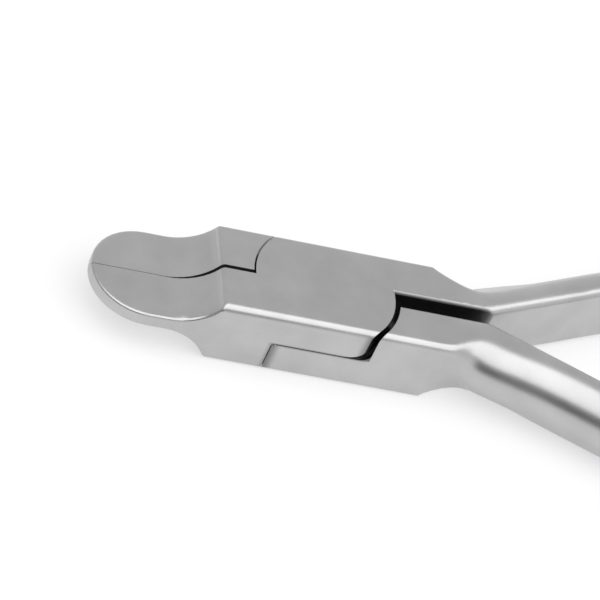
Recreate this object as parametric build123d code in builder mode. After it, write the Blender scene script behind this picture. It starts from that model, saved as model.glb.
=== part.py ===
# Orthodontic lap-joint pliers with thin, broad blade jaws.
# Three pieces: two forged halves, each the other turned over about the long axis, and a flush pivot rivet.
# Millimetres. The origin is on the pivot axis at the joint's flat underside. The closed jaws point
# to -X, the handles to +X, and the pivot axis is +Z.
from build123d import *
from math import acos, atan2, cos, degrees, hypot, radians, sin, sqrt, tan
import os

os.makedirs("parts", exist_ok=True)

# Joint box
joint_width = 13.0
joint_thickness = 8.5
shoulder_reach = 11.9  # from the pivot to the front shoulder
rear_reach = 13.45  # from the pivot to the corner where the box narrows
soft_edge_round = 1.0  # the box's long edges on each half's jaw side
crisp_edge_round = 0.6  # and on its handle side

# Lap
plate_radius = 8.3  # round ends of each lap plate
front_lap_gap = 0.22  # between a plate's front arc and the other half's jaw root
rear_lap_gap = 0.6  # between a plate's rear arc and the other half's handle root
lap_gap = 0.1  # between the two plates' sliding faces
front_edge_round = 0.4  # lower edges of a plate's round ends
rear_edge_round = 1.4
front_corner_round = 0.25  # inside corners of the recess that the other plate turns in
rear_corner_round = 1.0

# Jaws
jaw_reach = 26.5  # from the pivot to the tip
blade_thickness = 1.8
sweep_radius = 6.3  # hollow-ground sweep from shoulder to blade
shoulder_round = 0.8  # rolls the sweep over into the box's face
shoulder_angle = 12.0  # left where the two meet
bite_gap = 0.06  # between the closed biting faces
relief_gap = 0.5  # between the jaw roots, behind the bite
relief_start = 18.0  # from the pivot, where the relief begins to open
relief_full = 12.5  # from the pivot, where it has its full gap
blade_edge_round = 0.35  # also runs over the shoulder's edges

# Neck, from the box's rear corner to the end of the slot between the handle roots
neck_length = 7.15
slot_half_width = 0.95  # from the middle line to a handle root's inner wall
slot_edge_round = 0.45

# Handles, measured along their inner line from the end of the slot. Their round back is broader on
# the side away from the half's own lap plate than on the plate's side.
splay_angle = 24.1  # of the straight shank
shank_length = 19.0
bow_radius = 95.0  # bow that brings the handles nearly parallel
bow_angle = 20.0
grip_radius = 300.0  # gentle closing curve of the grips
grip_angle = 7.5
root_width = 6.25  # of the broad side at the slot's end
grip_width = 5.35
root_pinch = 1.9  # how much narrower the plate's side is, at the slot's end
grip_pinch = 0.8
root_fade = 11.0  # length over which the root's shape becomes the grip's
root_round = 3.75  # round back on the broad side, at the root
grip_round = 4.0
broad_lead = 6.0  # before the slot's end, where the box's edge begins to grow into it
broad_growth = 7.0  # length over which it grows
narrow_round = 3.0
narrow_lead = 5.5
narrow_growth = 9.5
inner_edge_round = 1.0
taper_length = 24.0  # over which the grip thins towards its end
end_taper = 0.6
end_round = 2.4  # length of the domed end

# Pivot rivet
rivet_radius = 2.4
rivet_clearance = 0.03
rivet_head_radius = 3.3
rivet_head_angle = 82.0
rivet_grip = 2.6  # length held in the upper half's plate

clear = 1.0  # how far cutters stand past the metal
slack = 0.05  # how far an edge may lie from the place it is looked for
half_width = joint_width / 2
slot_reach = rear_reach + neck_length
half_thickness = joint_thickness / 2
lap_plane = Plane.XY.offset(half_thickness)
plate_face = lap_plane.offset(lap_gap / 2)
flip_axis = Axis((0, 0, half_thickness), (1, 0, 0))


def ease(distance, length):
    """Rise smoothly from 0 at no distance to 1 at the given length."""
    share = min(max(distance / length, 0), 1)
    return share * share * (3 - 2 * share)


def heading(angle):
    """Unit vector at an angle from +X, seen from above."""
    return Vector(1, 0, 0).rotate(Axis.Z, angle)


def handle_section(start, angle, height, broad, narrow, edge):
    """Upright section across a handle. Its flat inner face is at start, and its back is rounded by
    two arcs, broad below and narrow above, each given as how far out it reaches and its radius."""
    across = Plane((start.X, start.Y, half_thickness), x_dir=heading(angle + 90), z_dir=heading(angle))
    low = -height / 2
    high = height / 2
    broad_centre = broad[0] - broad[1]
    step = narrow[0] - narrow[1] - broad_centre
    rise = height - broad[1] - narrow[1]
    lean = atan2(rise, step) - acos((broad[1] - narrow[1]) / hypot(rise, step))
    wall = broad_centre * cos(lean) + (low + broad[1]) * sin(lean) + broad[1]
    with BuildSketch(across) as section:
        with BuildLine():
            FilletPolyline(
                (0, low),
                ((wall - low * sin(lean)) / cos(lean), low),
                ((wall - high * sin(lean)) / cos(lean), high),
                (0, high),
                radius=[edge, broad[1], narrow[1], edge],
                close=True,
            )
        make_face()
    return section.sketch.face()


# Cutter for the hollow-ground sweep above one blade, drawn from the side
rise = half_thickness - blade_thickness / 2
meet = cos(radians(shoulder_angle))
steepest = acos((sweep_radius + shoulder_round * meet - rise) / (sweep_radius + shoulder_round))
roll_run = shoulder_round * (sin(steepest) - sin(radians(shoulder_angle)))
sweep_run = sweep_radius * sin(steepest) + roll_run

with BuildPart() as sweep_cutter:
    with BuildSketch(Plane.XZ.shift_origin((0, 0, half_thickness))):
        with BuildLine():
            blade_top = Line(
                (-jaw_reach - clear, blade_thickness / 2),
                (-shoulder_reach - sweep_run, blade_thickness / 2),
            )
            sweep = JernArc(blade_top @ 1, (1, 0), sweep_radius, degrees(steepest))
            JernArc(sweep @ 1, sweep % 1, shoulder_round, shoulder_angle - degrees(steepest))
            Polyline(
                (-shoulder_reach, half_thickness),
                (-shoulder_reach, half_thickness + clear),
                (-jaw_reach - clear, half_thickness + clear),
                blade_top @ 0,
            )
        make_face()
    extrude(amount=half_width + clear, both=True)

# Jaw of one half: a quarter of a disc at the tip, hollow-ground above and below, relieved behind the bite
with BuildPart() as jaw:
    with BuildSketch(lap_plane):
        with Locations(((half_width - jaw_reach) / 2, 0)):
            Rectangle(jaw_reach - half_width, joint_width)
        with Locations((half_width - jaw_reach, 0)):
            Circle(half_width)
        with Locations((0, half_width)):
            Rectangle(2 * jaw_reach, joint_width + bite_gap, mode=Mode.SUBTRACT)
        Polygon(
            (-relief_start, -bite_gap / 2),
            (-relief_full, -relief_gap / 2),
            (clear, -relief_gap / 2),
            (clear, clear),
            (-relief_start, clear),
            align=None,
            mode=Mode.SUBTRACT,
        )
    extrude(amount=half_thickness, both=True)
    add(sweep_cutter.part, mode=Mode.SUBTRACT)
    add(sweep_cutter.part.rotate(flip_axis, 180), mode=Mode.SUBTRACT)

# Lap plate of one half
with BuildPart() as plate:
    with BuildSketch(plate_face):
        Circle(plate_radius)
        Rectangle(3 * plate_radius, joint_width, mode=Mode.INTERSECT)
    extrude(amount=half_thickness - lap_gap / 2)
    end_arcs = plate.edges().filter_by(GeomType.CIRCLE).group_by(Axis.Z)[0].sort_by(Axis.X)
    fillet(end_arcs[0], radius=front_edge_round)
    fillet(end_arcs[-1], radius=rear_edge_round)

# Recess that the other half's plate turns in, tight in front and roomy behind
with BuildPart() as front_recess:
    with BuildSketch(plate_face):
        Circle(plate_radius + front_lap_gap)
        with Locations((joint_width, 0)):
            Rectangle(2 * joint_width, 2 * joint_width, mode=Mode.SUBTRACT)
    extrude(amount=-half_thickness - clear)
    fillet(front_recess.edges().filter_by(GeomType.CIRCLE).sort_by(Axis.Z)[-1], radius=front_corner_round)

with BuildPart() as rear_recess:
    with BuildSketch(plate_face):
        Circle(plate_radius + rear_lap_gap)
        with Locations((-joint_width, 0)):
            Rectangle(2 * joint_width, 2 * joint_width, mode=Mode.SUBTRACT)
    extrude(amount=-half_thickness - clear)
    fillet(rear_recess.edges().filter_by(GeomType.CIRCLE).sort_by(Axis.Z)[-1], radius=rear_corner_round)

# Jaw and joint of one half, up to the box's rear corner
with BuildPart() as front:
    add(jaw.part)
    with BuildSketch(lap_plane):
        with Locations((rear_reach / 2, (half_width + slot_half_width) / 2)):
            Rectangle(rear_reach, half_width - slot_half_width)
    extrude(amount=half_thickness, both=True)
    add(plate.part)
    add(front_recess.part, mode=Mode.SUBTRACT)
    add(rear_recess.part, mode=Mode.SUBTRACT)
    for side, radius in ((-1, soft_edge_round), (1, crisp_edge_round)):
        flanks = front.faces().filter_by(Axis.Y).group_by(lambda face: round(abs(face.center().Y), 3))[-1]
        levels = flanks.edges().filter_by(Axis.X).group_by(Axis.Z)
        box_edges = (levels[0] + levels[-1]).filter_by(
            lambda edge: side * edge.center().Y * (edge.center().Z - half_thickness) > 0
        )
        fillet(box_edges, radius=radius)
    near_flank = front.faces().filter_by(Axis.Y).sort_by(Axis.Y)[0]
    tip = front.faces().sort_by(Axis.X)[0]
    blade_edges = (
        ShapeList([near_flank, tip])
        .edges()
        .filter_by(Axis.Z, reverse=True)
        .filter_by(lambda edge: edge.center().X < -shoulder_reach)
    )
    fillet(blade_edges, radius=blade_edge_round)

# Inner face of a handle and outer side of its neck, seen from above
with BuildLine() as inner_line:
    shank = PolarLine((slot_reach, slot_half_width), shank_length, splay_angle)
    bow = JernArc(shank @ 1, shank % 1, bow_radius, -bow_angle)
    JernArc(bow @ 1, bow % 1, grip_radius, -grip_angle)
inner = inner_line.wire()
with BuildLine() as neck_line:
    neck = Spline(
        (rear_reach, half_width),
        shank @ 0 + heading(splay_angle + 90) * root_width,
        tangents=[heading(0), heading(splay_angle)],
    )

# Handle of one half, lofted through sections that turn with the neck and then follow the inner line.
# In the neck they run past the slot to the inner line drawn backwards, and the slot is cut after.
neck_steps = 7
root_steps = 5
grip_steps = 9
slope = tan(radians(splay_angle))


def rounds_at(distance):
    """Radii of the round back, broad and narrow, at a distance past the slot's end."""
    broad_share = ease(distance + broad_lead, broad_growth)
    narrow_share = ease(distance + narrow_lead, narrow_growth)
    broad_round = root_round + (grip_round - root_round) * ease(distance, root_fade)
    broad = soft_edge_round + (broad_round - soft_edge_round) * broad_share
    narrow = crisp_edge_round + (narrow_round - crisp_edge_round) * narrow_share
    return broad, narrow


sections = []
for step in range(neck_steps):
    share = step / neck_steps
    angle = splay_angle * share
    outer_point = neck @ share
    overhang = outer_point.Y - slot_half_width - slope * (outer_point.X - slot_reach)
    width = overhang / (cos(radians(angle)) + slope * sin(radians(angle)))
    pinch = root_pinch * share * (2 - share)
    broad, narrow = rounds_at((share - 1) * neck_length)
    start = outer_point - heading(angle + 90) * width
    sections.append(
        handle_section(start, angle, joint_thickness, (width, broad), (width - pinch, narrow), inner_edge_round)
    )

root_stations = [root_fade * step / root_steps for step in range(root_steps)]
grip_spacing = (inner.length - root_fade) / grip_steps
grip_stations = [root_fade + grip_spacing * step for step in range(grip_steps + 1)]
for distance in root_stations + grip_stations:
    start = inner.position_at(distance, position_mode=PositionMode.LENGTH)
    direction = inner.tangent_at(distance, position_mode=PositionMode.LENGTH)
    angle = degrees(atan2(direction.Y, direction.X))
    taper = end_taper * ease(distance + taper_length - inner.length, taper_length)
    faded = ease(distance, root_fade)
    width = root_width + (grip_width - root_width) * faded - taper
    pinch = root_pinch + (grip_pinch - root_pinch) * faded
    height = joint_thickness - taper
    broad, narrow = [radius - taper / 2 for radius in rounds_at(distance)]
    sections.append(handle_section(start, angle, height, (width, broad), (width - pinch, narrow), inner_edge_round))

with BuildPart() as handle:
    loft(sections)
    cut_length = slot_reach - rear_reach + 2 * clear
    with BuildSketch(Plane.XY.offset(-clear)):
        with Locations(((slot_reach + rear_reach) / 2, slot_half_width - half_width)):
            Rectangle(cut_length, joint_width)
    extrude(amount=joint_thickness + 2 * clear, mode=Mode.SUBTRACT)

# Domed end: the last section shrinks about its middle as an ellipse does
dome_shares = (0, 0.3, 0.55, 0.75, 0.9, 0.98)
dome_sections = []
for share in dome_shares:
    scale = sqrt(1 - share**2)
    shift = heading(angle) * end_round * share + heading(angle + 90) * width / 2 * (1 - scale)
    broad_end = (width * scale, broad * scale)
    narrow_end = ((width - pinch) * scale, narrow * scale)
    edge = inner_edge_round * scale
    dome_sections.append(handle_section(start + shift, angle, height * scale, broad_end, narrow_end, edge))
with BuildPart() as dome:
    loft(dome_sections)

# One whole half
with BuildPart() as half:
    add(front.part)
    add(handle.part)
    add(dome.part)
    slot_edges = half.edges().filter_by(
        lambda edge: abs(edge.center().Y - slot_half_width) < slack
        and abs(edge.center().Z - half_thickness) > half_thickness - slack
        and edge.center().X > plate_radius
    )
    fillet(slot_edges, radius=slot_edge_round)

# Pivot rivet: countersunk head flush with the underside, shank held in the upper half's plate
head_depth = (rivet_head_radius - rivet_radius) / tan(radians(rivet_head_angle / 2))
with BuildPart() as pivot_rivet:
    with BuildSketch(Plane.XZ):
        Polygon(
            (0, 0),
            (rivet_head_radius, 0),
            (rivet_radius, head_depth),
            (rivet_radius, half_thickness + rivet_grip),
            (0, half_thickness + rivet_grip),
            align=None,
        )
    revolve(axis=Axis.Z)

# Upper half: near jaw, upper lap plate and far handle, with the blind seat of the rivet
with BuildPart() as upper_half:
    add(half.part)
    with BuildSketch(plate_face):
        Circle(rivet_radius)
    extrude(amount=rivet_grip - lap_gap / 2, mode=Mode.SUBTRACT)

# Lower half: the same forging turned over, drilled and countersunk for the rivet from below
with BuildPart() as lower_half:
    add(half.part.rotate(flip_axis, 180))
    with Locations(Plane((0, 0, 0), z_dir=(0, 0, -1))):
        CounterSinkHole(
            radius=rivet_radius + rivet_clearance,
            counter_sink_radius=rivet_head_radius + rivet_clearance,
            depth=joint_thickness,
            counter_sink_angle=rivet_head_angle,
        )

upper_half.part.label = "upper_half"
export_step(upper_half.part, "parts/upper_half.step")
lower_half.part.label = "lower_half"
export_step(lower_half.part, "parts/lower_half.step")
pivot_rivet.part.label = "pivot_rivet"
export_step(pivot_rivet.part, "parts/pivot_rivet.step")
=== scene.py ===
import math

import bmesh
import bpy
import numpy
from mathutils import Matrix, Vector
from mathutils.kdtree import KDTree


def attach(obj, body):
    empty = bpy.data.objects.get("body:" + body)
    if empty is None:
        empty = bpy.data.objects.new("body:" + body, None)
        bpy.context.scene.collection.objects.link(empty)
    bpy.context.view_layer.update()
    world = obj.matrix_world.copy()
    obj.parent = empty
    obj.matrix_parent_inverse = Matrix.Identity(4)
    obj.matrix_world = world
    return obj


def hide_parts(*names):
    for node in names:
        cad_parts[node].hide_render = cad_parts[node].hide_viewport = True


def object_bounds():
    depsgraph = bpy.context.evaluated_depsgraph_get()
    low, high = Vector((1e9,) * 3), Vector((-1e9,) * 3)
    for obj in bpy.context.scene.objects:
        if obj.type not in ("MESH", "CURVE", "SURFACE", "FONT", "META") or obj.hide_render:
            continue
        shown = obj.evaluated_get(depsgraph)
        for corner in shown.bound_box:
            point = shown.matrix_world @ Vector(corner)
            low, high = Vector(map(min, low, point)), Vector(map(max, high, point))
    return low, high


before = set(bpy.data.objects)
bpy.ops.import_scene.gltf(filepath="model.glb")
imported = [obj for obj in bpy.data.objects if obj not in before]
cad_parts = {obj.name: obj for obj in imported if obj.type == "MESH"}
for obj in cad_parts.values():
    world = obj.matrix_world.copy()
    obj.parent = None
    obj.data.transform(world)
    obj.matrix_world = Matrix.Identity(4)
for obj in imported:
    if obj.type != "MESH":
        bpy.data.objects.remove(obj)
cadLow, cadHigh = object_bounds()
jointMiddle = (cadLow.z + cadHigh.z) / 2  # height of the lap between the two halves
print("frame loaded")


# Small helpers for node trees
def addNode(tree, kind, label, place, **values):
    node = tree.nodes.new(kind)
    node.label = label
    node.name = label
    node.location = place
    for key, value in values.items():
        setattr(node, key, value)
    return node


# A socket takes another socket's result, or a plain value
def feed(tree, value, socket):
    if isinstance(value, bpy.types.NodeSocket):
        tree.links.new(value, socket)
    else:
        socket.default_value = value


def addMath(tree, label, place, operation, first, second=0.0):
    node = addNode(tree, "ShaderNodeMath", label, place, operation=operation)
    feed(tree, first, node.inputs[0])
    feed(tree, second, node.inputs[1])
    return node.outputs[0]


# Turns softly from 0 where the value is at its first bound to 1 at its second
def addRise(tree, label, place, value, first, second):
    node = addNode(tree, "ShaderNodeMapRange", label, place, interpolation_type="SMOOTHSTEP")
    feed(tree, value, node.inputs["Value"])
    feed(tree, first, node.inputs["From Min"])
    feed(tree, second, node.inputs["From Max"])
    return node.outputs["Result"]


def startGroup(name, inputs, outputs):
    group = bpy.data.node_groups.new(name, "ShaderNodeTree")
    for label, kind in inputs:
        group.interface.new_socket(name=label, in_out="INPUT", socket_type=kind)
    for label, kind in outputs:
        group.interface.new_socket(name=label, in_out="OUTPUT", socket_type=kind)
    start = addNode(group, "NodeGroupInput", "values", (-1900, 0))
    end = addNode(group, "NodeGroupOutput", "results", (900, 0))
    return group, start.outputs, end.inputs


# Fine blasted grain: a speckle of small pits, for the height and the roughness
def buildSatinGrain():
    inputs = [
        ("Vector", "NodeSocketVector"),
        ("Grains per Metre", "NodeSocketFloat"),
        ("Roughness", "NodeSocketFloat"),
        ("Roughness Spread", "NodeSocketFloat"),
    ]
    outputs = [("Roughness", "NodeSocketFloat"), ("Height", "NodeSocketFloat")]
    group, values, results = startGroup("satinGrain", inputs, outputs)
    speckle = addNode(group, "ShaderNodeTexNoise", "speckle", (-600, 100))
    speckle.inputs["Detail"].default_value = 3.0
    speckle.inputs["Roughness"].default_value = 0.6
    feed(group, values["Vector"], speckle.inputs["Vector"])
    feed(group, values["Grains per Metre"], speckle.inputs["Scale"])
    middle = values["Roughness"]
    reach = values["Roughness Spread"]
    spread = addNode(group, "ShaderNodeMapRange", "spread", (-300, 150))
    spread.inputs["From Min"].default_value = 0.3
    spread.inputs["From Max"].default_value = 0.7
    feed(group, speckle.outputs["Fac"], spread.inputs["Value"])
    feed(group, addMath(group, "lowest", (-600, -200), "SUBTRACT", middle, reach), spread.inputs["To Min"])
    feed(group, addMath(group, "highest", (-600, -380), "ADD", middle, reach), spread.inputs["To Max"])
    feed(group, spread.outputs["Result"], results["Roughness"])
    feed(group, speckle.outputs["Fac"], results["Height"])
    return group


# Soft clouds left by hand polishing: they change the tone a little
def buildPolishClouds():
    inputs = [
        ("Vector", "NodeSocketVector"),
        ("Clouds per Metre", "NodeSocketFloat"),
        ("Color", "NodeSocketColor"),
        ("Tone Spread", "NodeSocketFloat"),
    ]
    group, values, results = startGroup("polishClouds", inputs, [("Color", "NodeSocketColor")])
    clouds = addNode(group, "ShaderNodeTexNoise", "clouds", (-600, 100))
    clouds.inputs["Detail"].default_value = 4.0
    clouds.inputs["Roughness"].default_value = 0.55
    feed(group, values["Vector"], clouds.inputs["Vector"])
    feed(group, values["Clouds per Metre"], clouds.inputs["Scale"])
    centred = addMath(group, "centred", (-380, 100), "SUBTRACT", clouds.outputs["Fac"], 0.5)
    strength = addMath(group, "strength", (-200, 100), "MULTIPLY", centred, values["Tone Spread"])
    tone = addMath(group, "tone", (-20, 100), "ADD", strength, 1.0)
    tinted = addNode(group, "ShaderNodeVectorMath", "tinted", (200, 0), operation="SCALE")
    feed(group, values["Color"], tinted.inputs[0])
    feed(group, tone, tinted.inputs["Scale"])
    feed(group, tinted.outputs[0], results["Color"])
    return group


# Where the painted shade lies on the joint, in metres from the pivot's axis, the middle plane and the lap
jointPaintedShade = {
    "Slot Half Width": 0.00095,
    "Slot Start": 0.0083,
    "Slot End": 0.0206,
    "Slot Fade": 0.001,
    "Edge Width": 0.00045,
    "Middle": jointMiddle,
    "Arc Inside": 0.0083,
    "Arc Outside": 0.0089,
    "Side Wall": 0.0064,
    "Seam Width": 0.0003,
    "Seam End Width": 0.0006,
    "Softness": 0.00004,
}


# Painted shade: a dark colour painted in the slot between the handle roots and in the gap of the rear arcs,
# where shade falls.
# A greyer painted shade lies on the slot's rounded edges, dimming their highlight, and along the seam of
# the lap on the side walls.
def buildPaintedGapShade():
    inputs = [
        ("Vector", "NodeSocketVector"),
        ("Color", "NodeSocketColor"),
        ("Painted Shade Color", "NodeSocketColor"),
        ("Edge Painted Shade", "NodeSocketFloat"),
        ("Seam Painted Shade", "NodeSocketFloat"),
        *((label, "NodeSocketFloat") for label in jointPaintedShade),
    ]
    group, values, results = startGroup("paintedGapShade", inputs, [("Color", "NodeSocketColor")])
    soft = values["Softness"]
    parts = addNode(group, "ShaderNodeSeparateXYZ", "parts", (-1700, 0))
    feed(group, values["Vector"], parts.inputs[0])
    along, across, up = (parts.outputs[axis] for axis in "XYZ")
    aside = addMath(group, "aside", (-1500, 200), "ABSOLUTE", across)
    height = addMath(group, "height", (-1500, 0), "SUBTRACT", up, values["Middle"])
    flatPlace = addNode(group, "ShaderNodeCombineXYZ", "flatPlace", (-1500, -200))
    feed(group, along, flatPlace.inputs["X"])
    feed(group, across, flatPlace.inputs["Y"])
    fromPivot = addNode(group, "ShaderNodeVectorMath", "fromPivot", (-1300, -200), operation="LENGTH")
    feed(group, flatPlace.outputs[0], fromPivot.inputs[0])
    radius = fromPivot.outputs["Value"]

    # The slot, where the painted shade lies: along its length, between its walls and on its rounded edges
    slotFrom = addMath(group, "slotFrom", (-1300, 1000), "SUBTRACT", values["Slot Start"], soft)
    begun = addRise(group, "begun", (-1100, 1000), along, slotFrom, values["Slot Start"])
    fadeFrom = addMath(group, "fadeFrom", (-1300, 800), "SUBTRACT", values["Slot End"], values["Slot Fade"])
    beforeSlotEnd = addRise(group, "beforeSlotEnd", (-1100, 800), along, values["Slot End"], fadeFrom)
    length = addMath(group, "length", (-900, 900), "MULTIPLY", begun, beforeSlotEnd)
    wall = addMath(group, "wall", (-1300, 600), "ADD", values["Slot Half Width"], soft)
    wallFar = addMath(group, "wallFar", (-1100, 600), "ADD", wall, soft)
    between = addRise(group, "between", (-900, 600), aside, wallFar, wall)
    inSlot = addMath(group, "inSlot", (-700, 700), "MULTIPLY", length, between)
    edgeEnd = addMath(group, "edgeEnd", (-1100, 400), "ADD", wall, values["Edge Width"])
    nearWall = addRise(group, "nearWall", (-900, 400), aside, edgeEnd, wall)
    onEdge = addMath(group, "onEdge", (-700, 400), "MULTIPLY", length, nearWall)

    # The gap of the rear arcs, dark with painted shade: only at the two corners of the joint where it is
    # open
    side = addMath(group, "side", (-1100, 0), "MULTIPLY", height, across)
    corner = addMath(group, "corner", (-900, 0), "MULTIPLY", side, along)
    isOpen = addMath(group, "isOpen", (-700, 0), "LESS_THAN", corner, 0.0)
    isBehind = addMath(group, "isBehind", (-700, 200), "GREATER_THAN", along, 0.0)
    openBehind = addMath(group, "openBehind", (-500, 100), "MULTIPLY", isBehind, isOpen)
    arcFrom = addMath(group, "arcFrom", (-1100, -200), "SUBTRACT", values["Arc Inside"], soft)
    pastInside = addRise(group, "pastInside", (-900, -200), radius, arcFrom, values["Arc Inside"])
    arcTo = addMath(group, "arcTo", (-1100, -400), "ADD", values["Arc Outside"], soft)
    shortOfOutside = addRise(group, "shortOfOutside", (-900, -400), radius, arcTo, values["Arc Outside"])
    inArc = addMath(group, "inArc", (-700, -300), "MULTIPLY", pastInside, shortOfOutside)
    rearArc = addMath(group, "rearArc", (-500, -200), "MULTIPLY", inArc, openBehind)

    # The seam, where painted shade darkens the steel: on the side walls, along the lap and at its two ends
    within = addRise(group, "within", (-900, -600), radius, values["Arc Outside"], values["Arc Inside"])
    wallFrom = addMath(group, "wallFrom", (-1100, -800), "SUBTRACT", values["Side Wall"], soft)
    onWall = addRise(group, "onWall", (-900, -800), aside, wallFrom, values["Side Wall"])
    seamPlace = addMath(group, "seamPlace", (-700, -700), "MULTIPLY", within, onWall)
    fromLap = addMath(group, "fromLap", (-1100, -1000), "ABSOLUTE", height)
    atLap = addRise(group, "atLap", (-900, -1000), fromLap, values["Seam Width"], soft)
    endFrom = addMath(
        group, "endFrom", (-1100, -1200), "SUBTRACT", values["Arc Inside"], values["Seam End Width"]
    )
    nearEnd = addRise(group, "nearEnd", (-900, -1200), radius, endFrom, values["Arc Inside"])
    atEnd = addMath(group, "atEnd", (-700, -1200), "MULTIPLY", nearEnd, isOpen)
    seam = addMath(group, "seam", (-500, -1100), "MAXIMUM", atLap, atEnd)
    onSeam = addMath(group, "onSeam", (-300, -900), "MULTIPLY", seam, seamPlace)

    # Painted shade on the slot's edges and the seam greys the steel, and the dark painted shade of the slot
    # and gap covers it
    # painted shade that dims the highlight on the slot's rounded edges
    paintedEdgeShade = addMath(group, "paintedEdgeShade", (-100, 400), "MULTIPLY", onEdge, values["Edge Painted Shade"])
    # painted shade along the lap seam between the halves and at its ends
    paintedSeamShade = addMath(group, "paintedSeamShade", (-100, 0), "MULTIPLY", onSeam, values["Seam Painted Shade"])
    paintedGreying = addMath(group, "paintedGreying", (100, 200), "MAXIMUM", paintedEdgeShade, paintedSeamShade)
    paintedGreyingTone = addMath(group, "paintedGreyingTone", (300, 200), "SUBTRACT", 1.0, paintedGreying)
    paintedGreyed = addNode(group, "ShaderNodeVectorMath", "paintedGreyed", (500, 200), operation="SCALE")
    feed(group, values["Color"], paintedGreyed.inputs[0])
    feed(group, paintedGreyingTone, paintedGreyed.inputs["Scale"])
    # dark painted shade in the slot and in the rear arcs' gap
    scale = addMath(group, "scale", (300, -200), "MAXIMUM", inSlot, rearArc)
    mixed = addNode(group, "ShaderNodeMix", "mixed", (700, 0), data_type="RGBA")
    feed(group, scale, mixed.inputs["Factor"])
    feed(group, paintedGreyed.outputs[0], mixed.inputs["A"])
    feed(group, values["Painted Shade Color"], mixed.inputs["B"])
    feed(group, mixed.outputs["Result"], results["Color"])
    return group


satinGrain = buildSatinGrain()
polishClouds = buildPolishClouds()
paintedGapShade = buildPaintedGapShade()
print("finish groups built")

# Finishes of the steel: each has its own values for the three groups
steelFinishes = {
    "forgedSatin": {
        "clouds": {
            "Clouds per Metre": 180.0,
            "Color": (0.505, 0.505, 0.505, 1.0),
            "Tone Spread": 0.34,
        },
        "grain": {
            "Grains per Metre": 5000.0,
            "Roughness": 0.31,
            "Roughness Spread": 0.03,
        },
        # painted shade on the joint: dark in the slot and gap, greyer on the slot's edges and along the
        # seam
        "scale": {
            "Painted Shade Color": (0.17, 0.17, 0.17, 1.0),
            # share of painted shade dimming the highlight on the slot's edges
            "Edge Painted Shade": 0.75,
            # share of painted shade along the lap seam
            "Seam Painted Shade": 0.5,
        },
        "pitDepth": 0.000002,
    },
    "rivetFace": {
        "clouds": {
            "Clouds per Metre": 400.0,
            "Color": (0.505, 0.505, 0.515, 1.0),
            "Tone Spread": 0.06,
        },
        "grain": {
            "Grains per Metre": 7000.0,
            "Roughness": 0.28,
            "Roughness Spread": 0.03,
        },
        # painted shade on the joint: dark in the slot and gap only, none on the edges or the seam
        "scale": {
            "Painted Shade Color": (0.17, 0.17, 0.17, 1.0),
            "Edge Painted Shade": 0.0,
            "Seam Painted Shade": 0.0,
        },
        "pitDepth": 0.0000005,
    },
}


def makeSteel(name):
    finish = steelFinishes[name]
    material = bpy.data.materials.new(name)
    material.use_nodes = True
    tree = material.node_tree
    tree.nodes.clear()
    place = addNode(tree, "ShaderNodeTexCoord", "place", (-1100, 0))

    def placeGroup(group, label, spot, values):
        node = addNode(tree, "ShaderNodeGroup", label, spot, node_tree=group)
        feed(tree, place.outputs["Object"], node.inputs["Vector"])
        for socket, value in values.items():
            node.inputs[socket].default_value = value
        return node

    clouds = placeGroup(polishClouds, "clouds", (-800, 350), finish["clouds"])
    # paints shade on the joint over the steel's colour
    scale = placeGroup(paintedGapShade, "scale", (-500, 350), {**jointPaintedShade, **finish["scale"]})
    grain = placeGroup(satinGrain, "grain", (-800, -200), finish["grain"])
    pits = addNode(tree, "ShaderNodeBump", "pits", (-500, -300))
    pits.inputs["Distance"].default_value = finish["pitDepth"]
    pits.inputs["Strength"].default_value = 1.0
    shader = addNode(tree, "ShaderNodeBsdfPrincipled", "steel", (0, 0))
    shader.inputs["Metallic"].default_value = 1.0
    output = addNode(tree, "ShaderNodeOutputMaterial", "surface", (320, 0))
    feed(tree, clouds.outputs["Color"], scale.inputs["Color"])
    feed(tree, scale.outputs["Color"], shader.inputs["Base Color"])
    feed(tree, grain.outputs["Roughness"], shader.inputs["Roughness"])
    feed(tree, grain.outputs["Height"], pits.inputs["Height"])
    feed(tree, pits.outputs["Normal"], shader.inputs["Normal"])
    feed(tree, shader.outputs["BSDF"], output.inputs["Surface"])
    return material


# A finished piece is the node's own shape, joined up and smooth between its real edges
finishing = {
    "joinDistance": 0.0000005,
    "sharpAngle": 38.0,
    "normalWeight": 50,
}

# The blades' broad faces are cut into small ones, so that they can turn softly over at their rims
bladeFaces = {
    "flats": {"end": -0.0177, "leastUpright": 0.9999, "longestEdge": 0.0004},
    "sweeps": {"end": -0.0116, "leastUpright": 0.45, "longestEdge": 0.0012},
    "mostSideways": 0.02,
}

# Where a hand has eased the steel, each normal follows a curved patch fitted through the points around it
easedZones = {
    "handles": {"from": 0.0145, "to": 0.0175, "radius": 0.0013, "steepest": 0.12},
    "blades": {"from": -0.0182, "to": -0.0192, "radius": 0.0009, "steepest": 0.25},
}
patchFit = {
    "sameSide": 0.8,  # least agreement of two normals for one patch
    "rimWeight": 0.2,  # what a point at the patch's rim still weighs
    "fewestPoints": 8,
    "oneNormal": 0.9999,  # corners that agree this well share one normal
}


def easeIn(value, start, end):
    share = min(max((value - start) / (end - start), 0.0), 1.0)
    return share * share * (3.0 - 2.0 * share)


def isBroad(face, part):
    spot = face.calc_center_median()
    outward = (spot.z - jointMiddle) * face.normal.z > 0
    level = abs(face.normal.y) < bladeFaces["mostSideways"]
    upright = abs(face.normal.z) > part["leastUpright"]
    return outward and level and upright and spot.x < part["end"]


def longEdges(work, part):
    broad = {face for face in work.faces if isBroad(face, part)}
    long = [edge for edge in work.edges if edge.calc_length() > part["longestEdge"]]
    return [edge for edge in long if any(face in broad for face in edge.link_faces)]


def refineBlades(work, part):
    edges = longEdges(work, part)
    while edges:
        bmesh.ops.subdivide_edges(work, edges=edges, cuts=1)
        bmesh.ops.triangulate(work, faces=[face for face in work.faces if len(face.verts) > 3])
        edges = longEdges(work, part)


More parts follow.
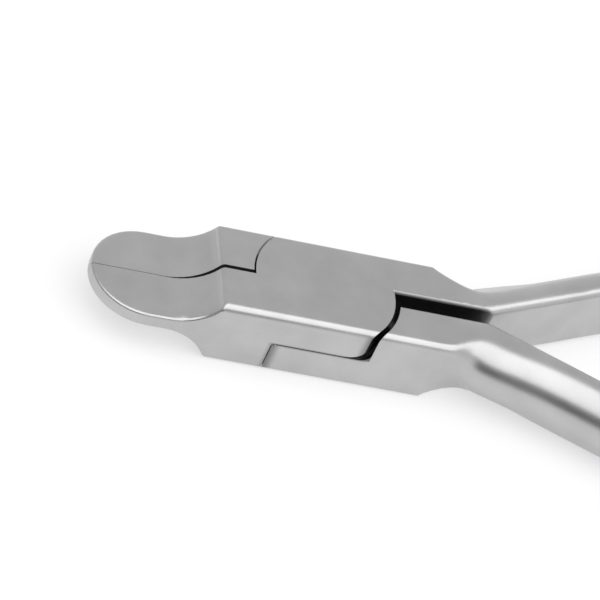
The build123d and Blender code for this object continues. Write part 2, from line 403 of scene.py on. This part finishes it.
# Fits a curved patch through the points around one, and gives the patch's normal there
def patchNormal(mesh, near, normals, index, zone):
    spot = mesh.vertices[index].co
    normal = normals[index]
    first = normal.orthogonal().normalized()
    second = normal.cross(first)
    rows = []
    heights = []
    for point, other, distance in near.find_range(spot, zone["radius"]):
        if distance > 0 and normals[other].dot(normal) > patchFit["sameSide"]:
            offset = (point - spot) / zone["radius"]
            weight = 1.0 + patchFit["rimWeight"] - distance / zone["radius"]
            along = offset.dot(first)
            aside = offset.dot(second)
            row = numpy.array([along, aside, along * along, along * aside, aside * aside])
            rows.append(row * weight)
            heights.append(offset.dot(normal) * weight)
    if len(rows) < patchFit["fewestPoints"]:
        return normal
    patch = numpy.linalg.lstsq(numpy.array(rows), numpy.array(heights), rcond=None)[0]
    slopeAlong = float(patch[0])
    slopeAside = float(patch[1])
    if math.hypot(slopeAlong, slopeAside) > zone["steepest"]:
        return normal
    fitted = (normal - first * slopeAlong - second * slopeAside).normalized()
    return normal.lerp(fitted, easeIn(spot.x, zone["from"], zone["to"])).normalized()


def easeNormals(mesh):
    corners = [corner.vector.copy() for corner in mesh.corner_normals]
    fans = {}
    for loop, normal in zip(mesh.loops, corners):
        fans.setdefault(loop.vertex_index, []).append(normal)
    eased = {}
    for zone in easedZones.values():
        normals = {}
        for index, fan in fans.items():
            inside = easeIn(mesh.vertices[index].co.x, zone["from"], zone["to"]) > 0
            if inside and min(fan[0].dot(other) for other in fan) > patchFit["oneNormal"]:
                normals[index] = fan[0]
        near = KDTree(len(normals))
        for index in normals:
            near.insert(mesh.vertices[index].co, index)
        near.balance()
        for index in normals:
            eased[index] = patchNormal(mesh, near, normals, index, zone)
    final = [eased.get(loop.vertex_index, normal) for loop, normal in zip(mesh.loops, corners)]
    mesh.normals_split_custom_set(final)


# The node's loose triangles, joined, with the blades' broad faces divided and the real edges marked sharp
def joinedCopy(node, name):
    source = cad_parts[node].data.copy()
    work = bmesh.new()
    work.from_mesh(source)
    bmesh.ops.remove_doubles(work, verts=work.verts, dist=finishing["joinDistance"])
    refineBlades(work, bladeFaces["sweeps"])
    refineBlades(work, bladeFaces["flats"])
    sharpAngle = math.radians(finishing["sharpAngle"])
    for face in work.faces:
        face.smooth = True
    for edge in work.edges:
        edge.smooth = len(edge.link_faces) == 2 and edge.calc_face_angle(0) < sharpAngle
    mesh = bpy.data.meshes.new(name)
    work.to_mesh(mesh)
    work.free()
    bpy.data.meshes.remove(source)
    return mesh


# Weights each normal by its faces' corners and keeps the result in the mesh
def settleNormals(piece):
    weights = piece.modifiers.new("faceWeights", "WEIGHTED_NORMAL")
    weights.mode = "CORNER_ANGLE"
    weights.keep_sharp = True
    weights.weight = finishing["normalWeight"]
    depsgraph = bpy.context.evaluated_depsgraph_get()
    settled = bpy.data.meshes.new_from_object(piece.evaluated_get(depsgraph), depsgraph=depsgraph)
    piece.modifiers.clear()
    piece.data = settled
    settled.name = piece.name
    easeNormals(settled)


def finishNode(node, name, material, body):
    mesh = joinedCopy(node, name)
    mesh.materials.clear()
    mesh.materials.append(material)
    piece = bpy.data.objects.new(name, mesh)
    bpy.context.scene.collection.objects.link(piece)
    settleNormals(piece)
    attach(piece, body)
    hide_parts(node)


forgedSatin = makeSteel("forgedSatin")
rivetFace = makeSteel("rivetFace")
finishNode("upper_half", "upper_half_finished", forgedSatin, "upper")
finishNode("lower_half", "lower_half_finished", forgedSatin, "lower")
finishNode("pivot_rivet", "pivot_rivet_finished", rivetFace, "upper")
print("pieces finished")

# Pale floor: white to the eye and in the steel, with the object's own shadow kept
floorLook = {
    "size": 8.0,
    "color": (0.4, 0.4, 0.4, 1.0),
    "lift": 0.57,
}


def makeFloor():
    mesh = bpy.data.meshes.new("floor")
    half = floorLook["size"] / 2
    height = cadLow.z
    corners = [(-half, -half, height), (half, -half, height), (half, half, height), (-half, half, height)]
    mesh.from_pydata(corners, [], [(0, 1, 2, 3)])
    floor = bpy.data.objects.new("floor", mesh)
    bpy.context.scene.collection.objects.link(floor)
    material = bpy.data.materials.new("floorWhite")
    material.use_nodes = True
    tree = material.node_tree
    tree.nodes.clear()
    paper = addNode(tree, "ShaderNodeBsdfDiffuse", "paper", (-200, 100))
    paper.inputs["Color"].default_value = floorLook["color"]
    rays = addNode(tree, "ShaderNodeLightPath", "rays", (-800, -100)).outputs
    seen = addMath(tree, "seen", (-600, -100), "MAXIMUM", rays["Is Camera Ray"], rays["Is Glossy Ray"])
    seenToo = addMath(tree, "seenToo", (-420, -100), "MAXIMUM", seen, rays["Is Transmission Ray"])
    lift = addMath(tree, "lift", (-240, -100), "MULTIPLY", seenToo, floorLook["lift"])
    glow = addNode(tree, "ShaderNodeEmission", "glow", (-60, -100))
    both = addNode(tree, "ShaderNodeAddShader", "both", (140, 0))
    output = addNode(tree, "ShaderNodeOutputMaterial", "surface", (320, 0))
    feed(tree, lift, glow.inputs["Strength"])
    feed(tree, paper.outputs[0], both.inputs[0])
    feed(tree, glow.outputs[0], both.inputs[1])
    feed(tree, both.outputs[0], output.inputs["Surface"])
    mesh.materials.append(material)


makeFloor()
print("floor laid")

# Soft studio: a wide soft box overhead, a pale room behind the pliers and a dim one in front,
# with a low pale card in the front. Room and card are given by how a direction leans.
studio = {
    "boxHeight": 0.8,
    "boxMiddle": (0.1, -0.42),
    "boxWidth": 2.0,
    "boxDepth": 1.32,
    "boxRadiance": 1.5,
    "roomStops": ((-0.9, 0.10), (-0.3, 0.30), (0.5, 0.64), (0.95, 0.80)),  # lean to the back, tone
    "cardTone": (0.9, 0.9, 0.9, 1.0),
    "cardLeft": (-0.25, 0.45),  # no card at the first lean to the right, full card at the second
    "cardTop": (0.75, 0.2),  # the same for the lean upwards
    "cardBack": (0.2, -0.2),  # the same for the lean to the back
}


def makeRoom():
    world = bpy.data.worlds.new("room")
    bpy.context.scene.world = world
    world.use_nodes = True
    tree = world.node_tree
    tree.nodes.clear()
    direction = addNode(tree, "ShaderNodeTexCoord", "direction", (-1300, 0))
    parts = addNode(tree, "ShaderNodeSeparateXYZ", "parts", (-1100, 0))
    feed(tree, direction.outputs["Generated"], parts.inputs[0])
    right, back, up = (parts.outputs[axis] for axis in "XYZ")

    # The room's tone follows the lean to the back, from -1 to 1
    depth = addNode(tree, "ShaderNodeMapRange", "depth", (-900, 200))
    depth.inputs["From Min"].default_value = -1.0
    roomTone = addNode(tree, "ShaderNodeValToRGB", "roomTone", (-700, 200))
    roomTone.color_ramp.interpolation = "EASE"
    while len(roomTone.color_ramp.elements) < len(studio["roomStops"]):
        roomTone.color_ramp.elements.new(0.5)
    for stop, (lean, tone) in zip(roomTone.color_ramp.elements, studio["roomStops"]):
        stop.position = (lean + 1) / 2
        stop.color = (tone, tone, tone, 1.0)
    feed(tree, back, depth.inputs["Value"])
    feed(tree, depth.outputs["Result"], roomTone.inputs[0])

    # The card covers a low part of it in front
    pastLeft = addRise(tree, "pastLeft", (-900, -100), right, *studio["cardLeft"])
    belowTop = addRise(tree, "belowTop", (-900, -400), up, *studio["cardTop"])
    inFront = addRise(tree, "inFront", (-900, -700), back, *studio["cardBack"])
    lowPart = addMath(tree, "lowPart", (-700, -200), "MULTIPLY", pastLeft, belowTop)
    card = addMath(tree, "card", (-500, -300), "MULTIPLY", lowPart, inFront)
    withCard = addNode(tree, "ShaderNodeMix", "withCard", (-300, 0), data_type="RGBA")
    withCard.inputs["B"].default_value = studio["cardTone"]
    feed(tree, card, withCard.inputs["Factor"])
    feed(tree, roomTone.outputs["Color"], withCard.inputs["A"])

    # The camera itself sees plain white
    rays = addNode(tree, "ShaderNodeLightPath", "rays", (-300, 400))
    seen = addNode(tree, "ShaderNodeMix", "seen", (-100, 0), data_type="RGBA")
    seen.inputs["B"].default_value = (1.0, 1.0, 1.0, 1.0)
    glow = addNode(tree, "ShaderNodeBackground", "glow", (100, 0))
    output = addNode(tree, "ShaderNodeOutputWorld", "surface", (300, 0))
    feed(tree, rays.outputs["Is Camera Ray"], seen.inputs["Factor"])
    feed(tree, withCard.outputs["Result"], seen.inputs["A"])
    feed(tree, seen.outputs["Result"], glow.inputs["Color"])
    feed(tree, glow.outputs[0], output.inputs["Surface"])


def makeSoftBox():
    lamp = bpy.data.lights.new("softBox", "AREA")
    lamp.shape = "RECTANGLE"
    lamp.size = studio["boxWidth"]
    lamp.size_y = studio["boxDepth"]
    lamp.energy = studio["boxRadiance"] * math.pi * studio["boxWidth"] * studio["boxDepth"]
    softBox = bpy.data.objects.new("softBox", lamp)
    softBox.location = (*studio["boxMiddle"], studio["boxHeight"])
    bpy.context.scene.collection.objects.link(softBox)


makeRoom()
makeSoftBox()
print("studio lit")

# Camera at the photograph's place: it looks at the middle of the joint from above and a little to the left
cameraPlace = {
    "aim": (-0.00156, 0.00119, jointMiddle),
    "distance": 0.45036,
    "azimuth": -22.622,
    "elevation": 42.214,
    "roll": 26.374,
    "lens": 239.17,
    "sensor": 36.0,
    "clip": (0.01, 20.0),
}


def makeCamera():
    data = bpy.data.cameras.new("camera")
    data.sensor_width = cameraPlace["sensor"]
    data.lens = cameraPlace["lens"]
    data.clip_start, data.clip_end = cameraPlace["clip"]
    around = Matrix.Rotation(math.radians(cameraPlace["azimuth"]), 4, "Z")
    down = Matrix.Rotation(math.radians(90 - cameraPlace["elevation"]), 4, "X")
    roll = Matrix.Rotation(math.radians(cameraPlace["roll"]), 4, "Z")
    away = Matrix.Translation((0, 0, cameraPlace["distance"]))
    camera = bpy.data.objects.new("camera", data)
    camera.matrix_world = Matrix.Translation(cameraPlace["aim"]) @ around @ down @ roll @ away
    bpy.context.scene.collection.objects.link(camera)
    bpy.context.scene.camera = camera


makeCamera()
bpy.context.scene.view_settings.view_transform = "Standard"
print("camera placed")
